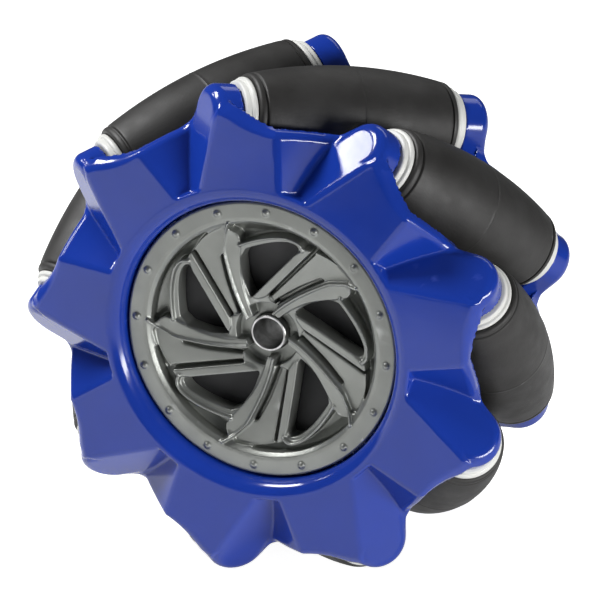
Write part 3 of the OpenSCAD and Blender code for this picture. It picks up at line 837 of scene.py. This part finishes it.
def floor_finish(colours):
    """Pale floor that keeps a shadow; in gloss a patch in front of the wheel, to the right, is
    painted near black, a painted shade in the wheel's reflections.
    """
    material = bpy.data.materials.new("studio floor")
    material.use_nodes = True
    tree = material.node_tree
    shader = tree.nodes["Principled BSDF"]
    drift = use_group(tree, drift_group(), Per_Metre=3.0)
    colour = mixed(tree, drift.outputs["Value"], colours.floor, times(colours.floor, 0.98))
    seen = put(tree, "ShaderNodeLightPath")
    where = put(tree, "ShaderNodeTexCoord")
    place = put(tree, "ShaderNodeSeparateXYZ", None, {0: where.outputs["Object"]})
    # painted shade: the patch in front, to the right, that glossy rays see near black and without
    # glow
    right = put(tree, "ShaderNodeMapRange", None, {
        "Value": place.outputs["X"], "From Min": PAINTED_SHADE_FROM_X[0], "From Max": PAINTED_SHADE_FROM_X[1]})
    before = put(tree, "ShaderNodeMapRange", None, {
        "Value": place.outputs["Y"], "From Min": PAINTED_SHADE_FROM_Y[0], "From Max": PAINTED_SHADE_FROM_Y[1]})
    corner = put(tree, "ShaderNodeMath", {"operation": "MULTIPLY"}, {
        0: right.outputs["Result"], 1: before.outputs["Result"]})
    painted_shade_mask = put(tree, "ShaderNodeMath", {"operation": "MULTIPLY"}, {
        0: corner.outputs[0], 1: seen.outputs["Is Glossy Ray"]})
    colour = mixed(tree, painted_shade_mask.outputs[0], colour, PAINTED_SHADE_COLOUR)
    tree.links.new(colour, shader.inputs["Base Color"])
    shader.inputs["Roughness"].default_value = 1.0
    shader.inputs["Specular IOR Level"].default_value = 0.0
    gloss_outside_painted_shade = put(tree, "ShaderNodeMath", {"operation": "SUBTRACT"}, {
        0: seen.outputs["Is Glossy Ray"], 1: painted_shade_mask.outputs[0]})
    in_gloss = put(tree, "ShaderNodeMath", {"operation": "MULTIPLY"}, {
        0: gloss_outside_painted_shade.outputs[0], 1: FLOOR_GLOW_IN_GLOSS})
    glow = put(tree, "ShaderNodeEmission", None, {"Color": (1, 1, 1, 1)})
    strength = put(tree, "ShaderNodeMath", {"operation": "MULTIPLY_ADD"}, {
        0: seen.outputs["Is Camera Ray"], 1: FLOOR_GLOW, 2: in_gloss.outputs[0]})
    tree.links.new(strength.outputs[0], glow.inputs["Strength"])
    total = put(tree, "ShaderNodeAddShader")
    tree.links.new(shader.outputs[0], total.inputs[0])
    tree.links.new(glow.outputs[0], total.inputs[1])
    tree.links.new(total.outputs[0], tree.nodes["Material Output"].inputs["Surface"])
    return material


class WHEEL_OT_stage(bpy.types.Operator):
    """Build the floor, the lamps, the world and the camera"""

    bl_idname = "wheel.stage"
    bl_label = "Stage"

    def execute(self, context):
        half = 3.0
        low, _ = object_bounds()
        mesh = bpy.data.meshes.new("floor")
        mesh.from_pydata([(-half, -half, low.z), (half, -half, low.z), (half, half, low.z),
                          (-half, half, low.z)], [], [(0, 1, 2, 3)])
        floor = bpy.data.objects.new("floor", mesh)
        context.scene.collection.objects.link(floor)
        dress(floor, floor_finish(context.scene.wheel_colours))
        floor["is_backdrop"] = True

        centre = Vector((0, 0, 0))
        floor_before = Vector((-0.05, -0.12, low.z))
        softbox("top left", (-0.36, -0.10, 0.46), floor_before, 0.20, 0.20, 4.0)
        softbox("low right", (0.62, -0.25, 0.02), centre, 0.40, 0.12, 3.5)
        third_ear = Vector((0.012, -0.018, 0.036))
        softbox("left card", (-0.396, -0.030, 0.224), third_ear, 0.05, 0.05, 0.16)
        softbox("rear edge", (0.1, 0.55, 0.55), centre, 0.6, 0.2, 0.6)

        world = bpy.data.worlds.new("studio")
        world.use_nodes = True
        sky = world.node_tree.nodes["Background"]
        sky.inputs["Color"].default_value = (0.9, 0.95, 1.0, 1)
        sky.inputs["Strength"].default_value = 0.08
        context.scene.world = world

        turn, tilt, distance = math.radians(22.587), math.radians(20.345), 0.599
        back = Vector((math.sin(turn) * math.cos(tilt), -math.cos(turn) * math.cos(tilt),
                       math.sin(tilt)))
        lens = bpy.data.cameras.new("camera")
        lens.lens = 191.07
        lens.sensor_width = 36
        lens.shift_x, lens.shift_y = -0.0013, 0.0106
        lens.clip_start, lens.clip_end = 0.01, 20
        camera = bpy.data.objects.new("camera", lens)
        camera.location = back * distance
        camera.rotation_euler = (-back).to_track_quat("-Z", "Y").to_euler()
        context.scene.collection.objects.link(camera)
        context.scene.camera = camera
        context.scene.view_settings.view_transform = "Standard"
        return {"FINISHED"}


STEPS = (WHEEL_OT_front_shell, WHEEL_OT_rear_shell, WHEEL_OT_front_cap, WHEEL_OT_rear_cap,
         WHEEL_OT_treads, WHEEL_OT_cores, WHEEL_OT_hardware, WHEEL_OT_stage)


class WHEEL_PT_panel(bpy.types.Panel):
    """Lists the steps that build the wheel"""

    bl_idname = "WHEEL_PT_panel"
    bl_label = "Mecanum wheel"
    bl_space_type = "VIEW_3D"
    bl_region_type = "UI"
    bl_category = "Wheel"

    def draw(self, context):
        for step in STEPS:
            self.layout.operator(step.bl_idname)
        for group in (context.scene.wheel_sizes, context.scene.wheel_colours):
            for key in group.bl_rna.properties.keys():
                if key not in ("rna_type", "name"):
                    self.layout.prop(group, key)


CLASSES = (WheelSizes, WheelColours, *STEPS, WHEEL_PT_panel)


def register():
    for item in CLASSES:
        bpy.utils.register_class(item)
    bpy.types.Scene.wheel_sizes = bpy.props.PointerProperty(type=WheelSizes)
    bpy.types.Scene.wheel_colours = bpy.props.PointerProperty(type=WheelColours)


def unregister():
    del bpy.types.Scene.wheel_colours
    del bpy.types.Scene.wheel_sizes
    for item in reversed(CLASSES):
        bpy.utils.unregister_class(item)


def main():
    register()
    for step in STEPS:
        area, name = step.bl_idname.split(".")
        getattr(getattr(bpy.ops, area), name)()


if __name__ == "__main__":
    main()
